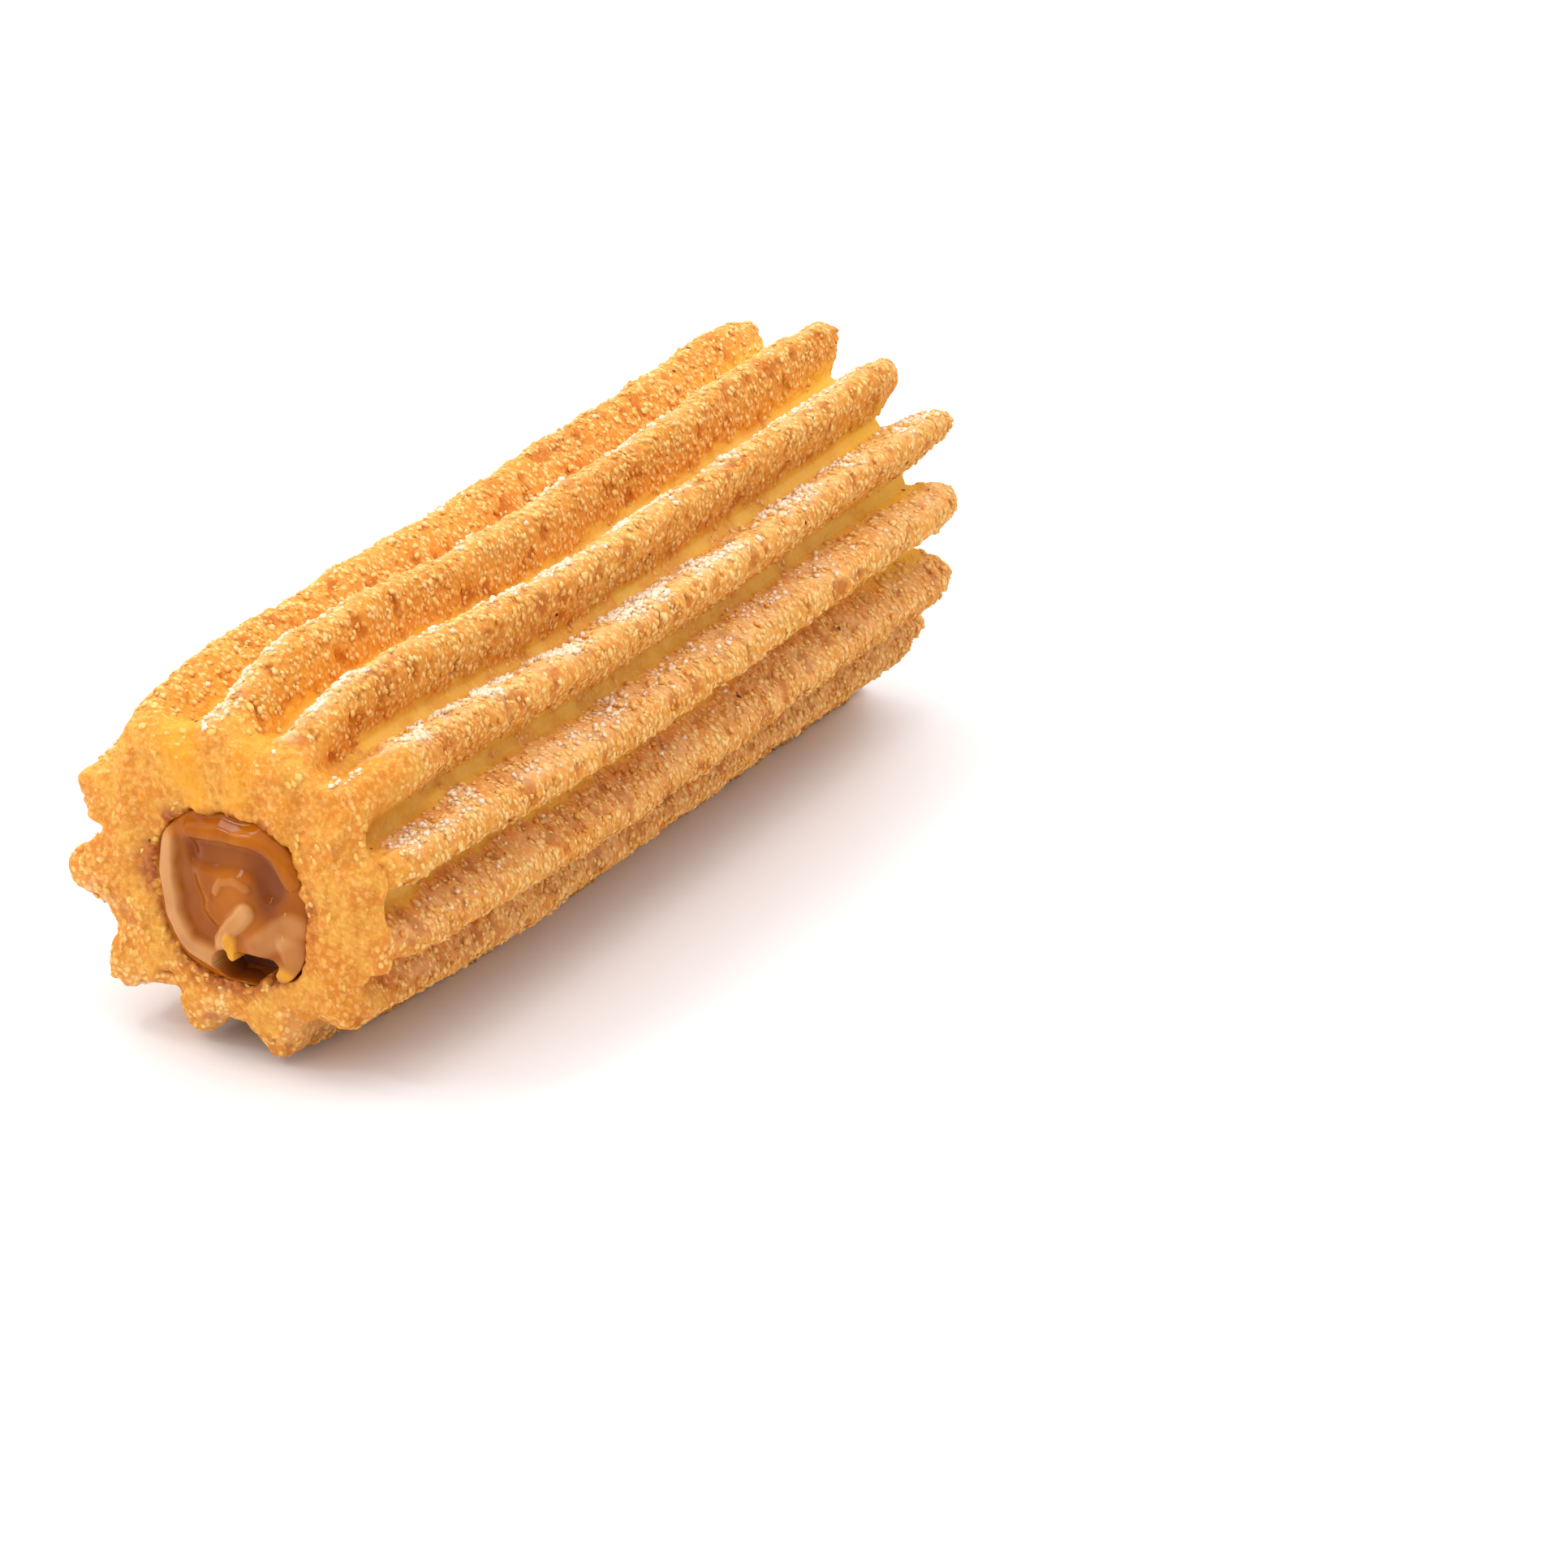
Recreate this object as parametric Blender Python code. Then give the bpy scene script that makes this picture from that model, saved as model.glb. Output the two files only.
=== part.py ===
"""Filled churro: a length of fried star-shaped dough with a caramel filling through its bore.

The churro lies along X with its cut face at -X. Its skin is swept from a twelve-ridged section.
Every ridge has its own place round the section, and q counts the ridges: q = 3 is the crest of
ridge 3 and q = 3.5 is the valley after it. u runs from 0 at the cut face to 1 at the far valleys.
"""
import math

import bmesh
import bpy
import numpy as np

MM = 0.001

# Length of the skin in the valleys, the ridge tips stand past it
CORE_LENGTH = 104 * MM
FACE_X = -CORE_LENGTH / 2

# Skin
RIDGE_DEPTH = 5.0 * MM
VALLEY_SHARE = 0.14
FACE_ROUND = 1.3 * MM
TIP_ROUND = 1.6 * MM
TIP_BLUNT = 0.75
TIP_START = 0.8
TIP_ROUND_START = 0.9
TIP_ROUND_POWER = 3
TIP_REACH_POWER = 1.5
SHOULDER_POWER = 2
FACE_TURN_END = 0.45
FAR_TURN_START = 0.55
RIDGE_SWAY = 0.7
SWAY_KNOTS = 7
CREST_ROUGHNESS = 0.25 * MM
CREST_PITCHES = 24
VALLEY_CALM = 0.25
CALM_COLLAR = 3.0 * MM
SEED = 11

# One row for each ridge: angle in degrees at the face, halfway and at the far end (0 is -Y, 90 is up),
# crest radius and tooth depth at the face, length of the pinched shoulder behind the face, distances
# from the face where the tooth starts to deepen and where it is full, length of the far tip past the
# valleys (all in mm), an exponent that is larger on a broader ridge, and how far the crest stays under
# the outline (mm)
RIDGES = (
    (18, 12, 13, 16.3, 0.5, 6.0, 1.0, 3.4, 4.5, 1.70, 0.0),
    (43, 37, 37, 15.9, 0.4, 8.0, 1.0, 6.0, 7.6, 1.50, 0.0),
    (69, 61, 60, 15.3, 0.3, 13.0, 0.6, 7.5, 4.3, 1.45, 0.0),
    (96, 85, 83, 15.8, 0.3, 13.0, 0.6, 7.5, 3.7, 1.40, 0.2),
    (129, 116, 114, 19.3, 0.8, 8.0, 0.0, 6.0, 4.4, 1.35, 0.0),
    (157, 148, 144, 19.9, 2.6, 5.0, 0.0, 4.5, 4.0, 1.20, 0.0),
    (184, 181, 180, 20.6, 3.8, 5.0, 0.0, 4.5, 4.0, 1.10, 0.0),
    (219, 217, 216, 19.7, 3.7, 6.0, 0.0, 5.4, 3.5, 1.10, 0.3),
    (249, 252, 253, 16.8, 3.5, 30.0, 0.0, 12.6, 4.0, 1.20, 0.0),
    (286, 288, 288, 16.7, 3.5, 34.0, 0.0, 12.6, 3.5, 1.20, 0.0),
    (325, 319, 319, 17.0, 2.4, 28.0, 0.4, 5.0, 4.5, 1.35, 1.1),
    (353, 345, 344, 17.0, 0.7, 8.0, 1.0, 3.4, 4.0, 1.50, 0.4),
)
COUNT = len(RIDGES)
AT_FACE, HALFWAY, AT_END, FACE_RADIUS, FACE_DEPTH, SHOULDER = range(6)
CUT_START, CUT_END, TIP, BREADTH, UNDER = range(6, 11)

# Crest radius upward and sideways, and height and sideways place of the middle, in mm along u
TOP = ((0, 20.0), (0.12, 20.7), (0.3, 20.9), (0.6, 21.1), (0.85, 21.7), (1, 22.4))
SIDE = ((0, 20.0), (0.3, 20.3), (0.6, 20.0), (0.85, 19.9), (1, 20.2))
RISE = ((0, 17.0), (0.1, 18.2), (0.25, 19.0), (0.5, 19.5), (1, 20.4))
SWAY = ((0, 0.0), (0.4, 0.2), (0.7, 1.2), (1, 2.2))

# Torn flakes of crust, the collar's tongue and the groove below it, and the step behind the collar:
# q, distance from the face, half width in q, half length and height
FLAKES = (
    (0.40, 13.0 * MM, 0.14, 2.6 * MM, 1.1 * MM),
    (0.62, 7.0 * MM, 0.16, 3.6 * MM, 0.9 * MM),
    (0.32, 8.0 * MM, 0.10, 3.5 * MM, -0.6 * MM),
    (1.10, 9.0 * MM, 0.16, 2.4 * MM, 0.7 * MM),
    (11.30, 6.6 * MM, 0.16, 2.2 * MM, 0.7 * MM),
    (11.35, 2.4 * MM, 0.90, 0.8 * MM, -0.7 * MM),
)

# Bore, its middle's height in mm along u, and how far its edges sit inside the ends
BORE_RADIUS = 8.75 * MM
BORE_UNEVEN = 0.35 * MM
BORE_LOBES = 4
BORE_TURN = math.pi / 4
BORE_DROP = 0.15 * MM
BORE_RISE = ((0, 17.0), (0.3, 18.6), (1, 19.8))
FACE_LIP = 0.5 * MM
FAR_LIP = 0.9 * MM

# Cut face: share of the way from the bore to the skin, and how far the dough bulges there
FACE_BULGES = ((0.10, 0.15 * MM), (0.45, 0.60 * MM), (0.85, 0.45 * MM))

# Far end: share of the way from the skin to the bore, share left of the ridge's tip, and bulge
FAR_BULGES = ((0.10, 0.92, 0.0), (0.30, 0.60, 0.0), (0.55, 0.12, -0.2 * MM), (0.90, 0.0, -0.5 * MM))

# Filling
FILL_GAP = 0.3 * MM
FILL_FACE = 0.9 * MM
DOME_HEIGHT = 1.9 * MM
FAR_DOME_HEIGHT = 0.95 * MM

# The front bulge's hollow and fold: place across and up and half sizes, in bore radii, and height
DOME_SHAPES = (
    (0.34, -0.76, 0.26, 0.22, -2.6 * MM),
    (0.02, -0.30, 0.30, 0.34, 0.6 * MM),
)

# Materials: color, roughness and specular level
DOUGH_LOOK = ((0.62, 0.30, 0.07), 0.75, 0.35)
CARAMEL_LOOK = ((0.36, 0.13, 0.03), 0.12, 0.5)

# Counts and spacings
CREST_STEPS = (0, 0.09, 0.2, 0.32, 0.5, 0.68, 0.8, 0.91)
SHOULDER_STATIONS = (0, 0.25, 0.7, 1.4, 2.4, 3.7, 5.6, 7.8, 10.2)
BODY_STATIONS = 37
BORE_STATIONS = 6
FILL_SIDES = 48
FILL_STATIONS = 9
DOME_SHARES = (0.95, 0.86, 0.72, 0.56, 0.4, 0.24, 0.1)


def ease(value):
    """Smooth step from 0 to 1."""
    value = np.clip(value, 0, 1)
    return value * value * (3 - 2 * value)


def smooth_table(u, knots):
    """Smooth curve through (u, value) knots."""
    places = np.array([knot[0] for knot in knots], float)
    values = np.array([knot[1] for knot in knots], float)
    slopes = np.gradient(values, places)
    u = np.clip(np.asarray(u, float), 0, 1)
    i = np.clip(np.searchsorted(places, u, side="right") - 1, 0, len(places) - 2)
    step = places[i + 1] - places[i]
    t = (u - places[i]) / step
    start = values[i] * (2 * t**3 - 3 * t**2 + 1) + step * slopes[i] * (t**3 - 2 * t**2 + t)
    return start + values[i + 1] * (3 * t**2 - 2 * t**3) + step * slopes[i + 1] * (t**3 - t**2)


def column(name):
    """One value for each ridge."""
    return np.array([ridge[name] for ridge in RIDGES], float)


def across(values, q):
    """Per-ridge values blended round the section."""
    k = np.floor(q).astype(int)
    share = ease(q - k)
    return values[k % COUNT] * (1 - share) + values[(k + 1) % COUNT] * share


def lines(table, q, u):
    """Seeded values along every ridge, blended along it and round the section."""
    place = np.clip(u, 0, 1) * (table.shape[1] - 1)
    i = np.clip(np.floor(place).astype(int), 0, table.shape[1] - 2)
    along = ease(place - i)
    k = np.floor(q).astype(int)
    share = ease(q - k)
    here = table[k % COUNT, i] * (1 - along) + table[k % COUNT, i + 1] * along
    after = table[(k + 1) % COUNT, i] * (1 - along) + table[(k + 1) % COUNT, i + 1] * along
    return here * (1 - share) + after * share


def seeded_tables():
    """Seeded sway of every ridge and roughness of every crest."""
    random = np.random.RandomState(SEED)
    sway = random.uniform(-1, 1, (COUNT, SWAY_KNOTS))
    rough = random.uniform(-1, 1, (COUNT, CREST_PITCHES))
    return sway, rough


SWAY_TABLE, ROUGH_TABLE = seeded_tables()


def turn_at(name, q):
    """Angle in degrees at q from one angle column, without a jump after the last ridge."""
    angles = np.append(column(name), RIDGES[0][name] + 360.0)
    return np.interp(q % COUNT, np.arange(COUNT + 1), angles) + np.floor(q / COUNT) * 360


def angle_at(q, u):
    """Angle round the section in radians."""
    to_middle = ease(u / FACE_TURN_END)
    to_end = ease((u - FAR_TURN_START) / (1 - FAR_TURN_START))
    body = turn_at(HALFWAY, q) * (1 - to_end) + turn_at(AT_END, q) * to_end
    degrees = turn_at(AT_FACE, q) * (1 - to_middle) + body * to_middle
    return np.radians(degrees + RIDGE_SWAY * lines(SWAY_TABLE, q, u) * to_middle)


def tooth(q):
    """Height share across a ridge: 1 on its crest and 0 in the valley floor."""
    side = np.abs(q - np.round(q)) * 2
    slope = np.clip(side / (1 - VALLEY_SHARE), 0, 1)
    return 1 - ease(slope ** across(column(BREADTH), q))


def crags(q, u, share):
    """Uneven crust: rough crests, calmer valleys, and the torn flakes."""
    height = CREST_ROUGHNESS * lines(ROUGH_TABLE, q, u) * (VALLEY_CALM + (1 - VALLEY_CALM) * share)
    for flake_q, distance, half_width, half_length, tall in FLAKES:
        across_q = (q - flake_q + COUNT / 2) % COUNT - COUNT / 2
        along = (u * CORE_LENGTH - distance) / half_length
        height = height + tall * np.exp(-(across_q / half_width) ** 2 - along ** 2)
    return height


def tip_length(q):
    """How far the far end stands past the valleys."""
    return across(column(TIP), q) * MM * tooth(q) ** TIP_BLUNT


def skin(q, u):
    """Points of the outer skin as (x, y, z), with the middle of the face at y = 0."""
    q, u = np.broadcast_arrays(np.asarray(q, float), np.asarray(u, float))
    angle = angle_at(q, u)
    share = tooth(q)
    distance = u * CORE_LENGTH
    flat = np.cos(angle) / smooth_table(u, SIDE)
    tall = np.sin(angle) / smooth_table(u, TOP)
    full = MM / np.sqrt(flat ** 2 + tall ** 2) - across(column(UNDER), q) * MM
    shoulder = across(column(SHOULDER), q) * MM
    pinch = np.clip(1 - distance / shoulder, 0, 1) ** SHOULDER_POWER
    crest = full - (full - across(column(FACE_RADIUS), q) * MM) * pinch
    face_depth = across(column(FACE_DEPTH), q) * MM
    cut_start = across(column(CUT_START), q) * MM
    cut = (distance - cut_start) / (across(column(CUT_END), q) * MM - cut_start)
    depth = face_depth + (RIDGE_DEPTH - face_depth) * ease(cut)
    inset = FACE_ROUND * (1 - np.sqrt(1 - np.clip(1 - distance / FACE_ROUND, 0, 1) ** 2))
    to_tip = np.clip((u - TIP_ROUND_START) / (1 - TIP_ROUND_START), 0, 1)
    rounding = TIP_ROUND * share * to_tip ** TIP_ROUND_POWER
    rough = crags(q, u, share) * ease(distance / CALM_COLLAR)
    radius = crest - depth * (1 - share) - inset - rounding + rough
    reach = tip_length(q) * np.clip((u - TIP_START) / (1 - TIP_START), 0, 1) ** TIP_REACH_POWER
    x = FACE_X + distance + reach
    y = smooth_table(u, SWAY) * MM - radius * np.cos(angle)
    z = smooth_table(u, RISE) * MM + radius * np.sin(angle)
    return np.stack([x, y, np.maximum(z, 0)], -1)


def bore_radius(angle):
    """Radius of the uneven bore."""
    uneven = BORE_UNEVEN * np.cos(BORE_LOBES * (angle - BORE_TURN))
    return BORE_RADIUS + uneven - BORE_DROP * np.sin(angle)


def bore_ring(angle, x, u, radius):
    """Points round the bore's own middle."""
    y = smooth_table(u, SWAY) * MM - radius * np.cos(angle)
    z = smooth_table(u, BORE_RISE) * MM + radius * np.sin(angle)
    return np.stack([np.broadcast_to(x, y.shape), y, z], -1)


def blend(outer, inner, share, x):
    """Ring between two rings, with its own x."""
    ring = outer * (1 - share) + inner * share
    ring[:, 0] = x
    return ring


def dough_rings():
    """Closed chain of rings: cut face, skin, far end and bore."""
    q = np.array([k + step for k in range(COUNT) for step in CREST_STEPS])
    first = np.array(SHOULDER_STATIONS) * MM / CORE_LENGTH
    rest = np.linspace(first[-1], 1, BODY_STATIONS + 1)[1:]
    outside = [skin(q, np.full(q.shape, u)) for u in np.concatenate([first, rest])]

    at_face = angle_at(q, np.zeros(q.shape))
    at_end = angle_at(q, np.ones(q.shape))
    near_x = FACE_X + FACE_LIP
    end_x = FACE_X + CORE_LENGTH
    face_edge = bore_ring(at_face, near_x, 0.0, bore_radius(at_face))
    end_edge = bore_ring(at_end, end_x - FAR_LIP, 1.0, bore_radius(at_end))
    front = [blend(face_edge, outside[0], share, FACE_X - bulge) for share, bulge in FACE_BULGES]
    back = []
    for share, kept_tip, bulge in FAR_BULGES:
        back.append(blend(outside[-1], end_edge, share, end_x + kept_tip * tip_length(q) + bulge))
    inside = []
    for u in np.linspace(1, 0, BORE_STATIONS):
        angle = at_face * (1 - u) + at_end * u
        x = near_x * (1 - u) + (end_x - FAR_LIP) * u
        inside.append(bore_ring(angle, x, u, bore_radius(angle)))
    return front + outside + back + inside


def dome(angle, share):
    """Filling's front bulge, with a fold that hangs over a hollow at the bottom."""
    height = DOME_HEIGHT * (1 - share ** 2)
    sideways = share * np.cos(angle)
    up = share * np.sin(angle)
    for place, rise, half_width, half_height, tall in DOME_SHAPES:
        off = ((sideways - place) / half_width) ** 2 + ((up - rise) / half_height) ** 2
        height = height + tall * np.exp(-off)
    return height


def filling_rings():
    """Rings from the middle of the front bulge, along the bore, to the middle of the far bulge."""
    angle = np.linspace(0, 2 * math.pi, FILL_SIDES, endpoint=False)
    radius = bore_radius(angle) - FILL_GAP
    near_x = FACE_X + FILL_FACE
    end_x = FACE_X + CORE_LENGTH - FILL_FACE
    rings = []
    for share in reversed(DOME_SHARES):
        rings.append(bore_ring(angle, near_x - dome(angle, share), 0.0, radius * share))
    for u in np.linspace(0, 1, FILL_STATIONS):
        rings.append(bore_ring(angle, near_x + (end_x - near_x) * u, u, radius))
    for share in DOME_SHARES:
        bulge = FAR_DOME_HEIGHT * (1 - share ** 2)
        rings.append(bore_ring(angle, end_x + bulge, 1.0, radius * share))
    return rings


def make_object(name, rings, shift, closed_chain):
    """Mesh object from rings of equal count, as a closed chain or with both ends capped."""
    mesh = bmesh.new()
    rows = [[mesh.verts.new(point) for point in ring + shift] for ring in rings]
    count = len(rows[0])
    pairs = list(zip(rows, rows[1:]))
    if closed_chain:
        pairs.append((rows[-1], rows[0]))
    for row, following in pairs:
        for j in range(count):
            k = (j + 1) % count
            mesh.faces.new((row[j], row[k], following[k], following[j]))
    if not closed_chain:
        for row in (rows[0], rows[-1]):
            middle = mesh.verts.new(sum((vert.co for vert in row), row[0].co * 0) / count)
            for j in range(count):
                mesh.faces.new((row[j], row[(j + 1) % count], middle))
    bmesh.ops.recalc_face_normals(mesh, faces=mesh.faces)
    data = bpy.data.meshes.new(name)
    mesh.to_mesh(data)
    mesh.free()
    data.polygons.foreach_set("use_smooth", [True] * len(data.polygons))
    part = bpy.data.objects.new(name, data)
    bpy.context.scene.collection.objects.link(part)
    return part


def make_material(name, color, roughness, specular):
    """Plain material for one node."""
    material = bpy.data.materials.new(name)
    material.use_nodes = True
    shader = material.node_tree.nodes["Principled BSDF"]
    shader.inputs["Base Color"].default_value = (*color, 1)
    shader.inputs["Roughness"].default_value = roughness
    shader.inputs["Specular IOR Level"].default_value = specular
    return material


def main():
    for old in list(bpy.data.objects):
        bpy.data.objects.remove(old, do_unlink=True)

    chain = dough_rings()
    core = filling_rings()
    every = np.concatenate(chain + core)
    low = every.min(axis=0)
    high = every.max(axis=0)
    shift = np.array([-(low[0] + high[0]) / 2, -(low[1] + high[1]) / 2, -low[2]])

    dough = make_object("dough", chain, shift, True)
    dough.data.materials.append(make_material("fried_dough", *DOUGH_LOOK))
    filling = make_object("filling", core, shift, False)
    filling.data.materials.append(make_material("caramel", *CARAMEL_LOOK))


main()
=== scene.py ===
"""Looks of the filled churro: gritty fried crust, glossy caramel, sugar, crumbs and specks.

The crust's large form repeats the part's own functions, on a finer grid with its relief added.
q counts the ridges round the section and u runs from 0 at the cut face to 1 at the far valleys.
"""
import math

import bpy
import numpy as np
from mathutils import Matrix, Vector


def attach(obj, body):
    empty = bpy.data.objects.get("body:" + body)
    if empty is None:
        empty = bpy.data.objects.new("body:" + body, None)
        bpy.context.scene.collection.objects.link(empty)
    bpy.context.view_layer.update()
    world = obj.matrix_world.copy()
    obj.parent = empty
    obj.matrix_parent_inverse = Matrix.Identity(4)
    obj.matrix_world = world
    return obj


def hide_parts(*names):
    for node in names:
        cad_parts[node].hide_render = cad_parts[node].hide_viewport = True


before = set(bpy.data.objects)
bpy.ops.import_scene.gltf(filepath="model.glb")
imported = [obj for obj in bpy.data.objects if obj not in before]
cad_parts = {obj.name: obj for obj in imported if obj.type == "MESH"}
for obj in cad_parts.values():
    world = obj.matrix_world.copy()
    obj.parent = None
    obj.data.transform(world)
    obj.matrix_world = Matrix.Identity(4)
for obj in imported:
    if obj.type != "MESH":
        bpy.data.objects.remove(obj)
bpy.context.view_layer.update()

MM = 0.001

# Form, as in the part's source
CORE_LENGTH = 104 * MM
FACE_X = -CORE_LENGTH / 2

# Skin
RIDGE_DEPTH = 5.0 * MM
VALLEY_SHARE = 0.14
FACE_ROUND = 1.3 * MM
TIP_ROUND = 1.6 * MM
TIP_BLUNT = 0.75
TIP_START = 0.8
TIP_ROUND_START = 0.9
TIP_ROUND_POWER = 3
TIP_REACH_POWER = 1.5
SHOULDER_POWER = 2
FACE_TURN_END = 0.45
FAR_TURN_START = 0.55
RIDGE_SWAY = 0.7
SWAY_KNOTS = 7
CREST_ROUGHNESS = 0.25 * MM
CREST_PITCHES = 24
VALLEY_CALM = 0.25
CALM_COLLAR = 3.0 * MM
SEED = 11

# One row for each ridge: angle in degrees at the face, halfway and at the far end (0 is -Y, 90 is up),
# crest radius and tooth depth at the face, length of the pinched shoulder behind the face, distances
# from the face where the tooth starts to deepen and where it is full, length of the far tip past the
# valleys (all in mm), an exponent that is larger on a broader ridge, and how far the crest stays under
# the outline (mm)
RIDGES = (
    (18, 12, 13, 16.3, 0.5, 6.0, 1.0, 3.4, 4.5, 1.70, 0.0),
    (43, 37, 37, 15.9, 0.4, 8.0, 1.0, 6.0, 7.6, 1.50, 0.0),
    (69, 61, 60, 15.3, 0.3, 13.0, 0.6, 7.5, 4.3, 1.45, 0.0),
    (96, 85, 83, 15.8, 0.3, 13.0, 0.6, 7.5, 3.7, 1.40, 0.2),
    (129, 116, 114, 19.3, 0.8, 8.0, 0.0, 6.0, 4.4, 1.35, 0.0),
    (157, 148, 144, 19.9, 2.6, 5.0, 0.0, 4.5, 4.0, 1.20, 0.0),
    (184, 181, 180, 20.6, 3.8, 5.0, 0.0, 4.5, 4.0, 1.10, 0.0),
    (219, 217, 216, 19.7, 3.7, 6.0, 0.0, 5.4, 3.5, 1.10, 0.3),
    (249, 252, 253, 16.8, 3.5, 30.0, 0.0, 12.6, 4.0, 1.20, 0.0),
    (286, 288, 288, 16.7, 3.5, 34.0, 0.0, 12.6, 3.5, 1.20, 0.0),
    (325, 319, 319, 17.0, 2.4, 28.0, 0.4, 5.0, 4.5, 1.35, 1.1),
    (353, 345, 344, 17.0, 0.7, 8.0, 1.0, 3.4, 4.0, 1.50, 0.4),
)
COUNT = len(RIDGES)
AT_FACE, HALFWAY, AT_END, FACE_RADIUS, FACE_DEPTH, SHOULDER = range(6)
CUT_START, CUT_END, TIP, BREADTH, UNDER = range(6, 11)

# Crest radius upward and sideways, and height and sideways place of the middle, in mm along u
TOP = ((0, 20.0), (0.12, 20.7), (0.3, 20.9), (0.6, 21.1), (0.85, 21.7), (1, 22.4))
SIDE = ((0, 20.0), (0.3, 20.3), (0.6, 20.0), (0.85, 19.9), (1, 20.2))
RISE = ((0, 17.0), (0.1, 18.2), (0.25, 19.0), (0.5, 19.5), (1, 20.4))
SWAY = ((0, 0.0), (0.4, 0.2), (0.7, 1.2), (1, 2.2))

# Torn flakes of crust, the collar's tongue and the groove below it, and the step behind the collar:
# q, distance from the face, half width in q, half length and height
FLAKES = (
    (0.40, 13.0 * MM, 0.14, 2.6 * MM, 1.1 * MM),
    (0.62, 7.0 * MM, 0.16, 3.6 * MM, 0.9 * MM),
    (0.32, 8.0 * MM, 0.10, 3.5 * MM, -0.6 * MM),
    (1.10, 9.0 * MM, 0.16, 2.4 * MM, 0.7 * MM),
    (11.30, 6.6 * MM, 0.16, 2.2 * MM, 0.7 * MM),
    (11.35, 2.4 * MM, 0.90, 0.8 * MM, -0.7 * MM),
)

# Bore, its middle's height in mm along u, and how far its edges sit inside the ends
BORE_RADIUS = 8.75 * MM
BORE_UNEVEN = 0.35 * MM
BORE_LOBES = 4
BORE_TURN = math.pi / 4
BORE_DROP = 0.15 * MM
BORE_RISE = ((0, 17.0), (0.3, 18.6), (1, 19.8))
FACE_LIP = 0.5 * MM
FAR_LIP = 0.9 * MM

# Cut face: share of the way from the bore to the skin, and how far the dough bulges there
FACE_BULGES = ((0.10, 0.15 * MM), (0.45, 0.60 * MM), (0.85, 0.45 * MM))

# Far end: share of the way from the skin to the bore, share left of the ridge's tip, and bulge
FAR_BULGES = ((0.10, 0.92, 0.0), (0.30, 0.60, 0.0), (0.55, 0.12, -0.2 * MM), (0.90, 0.0, -0.5 * MM))

# Filling
FILL_GAP = 0.3 * MM
FILL_FACE = 0.9 * MM
DOME_HEIGHT = 1.9 * MM
FAR_DOME_HEIGHT = 0.95 * MM

# Caramel: fine rings at each end; the far fold's first radii, how much they shrink with each point,
# and its width, in bore radii, and its angles in radians; and how the front stands in the bore's mouth
FRONT_RINGS = 150
FAR_RINGS = 36
FAR_RADII = (0.72, 0.60)
FAR_SHRINK = (0.045, 0.040)
FAR_STEP = 0.42
FAR_FIRST = 2.2
FAR_POINTS = 14
FAR_FOLD_WIDTH = 0.22
FAR_FOLD_HEIGHT = 0.7 * MM
BORE_STEPS = 12
FILL_SIDES = 300
RING_POWER = 0.8
FIRST_SHARE = 0.004
FRONT_SPREAD = 0.35 * MM
FRONT_INSET = 0.20 * MM
FRONT_REACH = 0.75
HOLLOW_DEPTH = 3.5 * MM

# Caramel's strokes at the cut end: path and width in bore radii, h to the viewer's right and v up
STROKES = {
    "band": (((-0.80, 0.50), (-0.86, 0.15), (-0.72, -0.30), (-0.45, -0.62), (-0.18, -0.72)), 0.20),
    "inner": (((-0.52, 0.45), (-0.55, 0.10), (-0.42, -0.25), (-0.20, -0.45)), 0.22),
    "brow": (((-0.45, 0.72), (-0.05, 0.84), (0.35, 0.80), (0.66, 0.66), (0.84, 0.40)), 0.13),
    "trough": (((-0.35, 0.50), (0.05, 0.58), (0.42, 0.52), (0.62, 0.30)), 0.24),
    "arc": (((-0.11, 0.10), (-0.05, 0.25), (0.12, 0.29), (0.30, 0.22)), 0.075),
    "leaf": (((0.30, -0.06), (0.10, -0.28), (-0.05, -0.50)), 0.15),
    "beak": (((0.10, -0.40), (0.08, -0.66)), 0.09),
    "shelf": (((0.42, -0.40), (0.66, -0.26), (0.84, -0.10)), 0.20),
    "lobe": (((0.78, -0.34), (0.78, -0.60), (0.62, -0.72)), 0.15),
    "hollow": (((0.02, -0.78), (0.24, -0.76), (0.46, -0.72)), 0.22),
}

# From the form's own middle to the frame's origin
SHIFT = np.array([-3.066 * MM, -0.996 * MM, 0.0])

# Fine grid of the crust
RIDGE_POINTS = 52
STATIONS = 386
FACE_RINGS = 30
END_RINGS = 20
BORE_RINGS = 5
CREST_CROWDING = 0.09
STATION_POWER = 1.06

# Singed patches on the bore's rim: angle and half angle in degrees, and width in mm
BURNS = (
    (172, 20, 3.0),
    (138, 14, 2.0),
    (78, 30, 1.5),
    (6, 22, 1.8),
    (258, 42, 2.0),
)

# Ridges on the far side, where crust covers more of the wider valleys
BACK_FROM = 3.6
BACK_TO = 9.8

# Ragged crack where the upper ridges leave the collar: range of q, place, width and depth
CRACK_FROM = 1.6
CRACK_TO = 3.7
CRACK_PLACE = 4.2 * MM
CRACK_WIDTH = 0.35 * MM
CRACK_DEPTH = 0.5 * MM

# Painted orange glow of light in the valleys that are deepest near the face
GLOW_RIDGE = 3.2
GLOW_WIDTH = 0.9
GLOW_LENGTH = 20 * MM

# Crust relief
GRAIN_ALONG = 0.56 * MM
GRAIN_ACROSS = 1.02 * MM
GRAIN_HEIGHT = 0.26 * MM
GRAIN_STRETCH = 0.5
LUMP_SIZE = 2.4 * MM
LUMP_HEIGHT = 0.22 * MM
PIT_DEPTH = 0.34 * MM
CALM_RELIEF = 0.14
RIM_RAGGED = 1.3 * MM
GRAIN_FULL = 0.62
GRAIN_ROUND = 0.6
GRAIN_SEED = 60
FOLD_HEIGHT = 0.75 * MM
LIP_HEIGHT = 0.35 * MM

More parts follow.
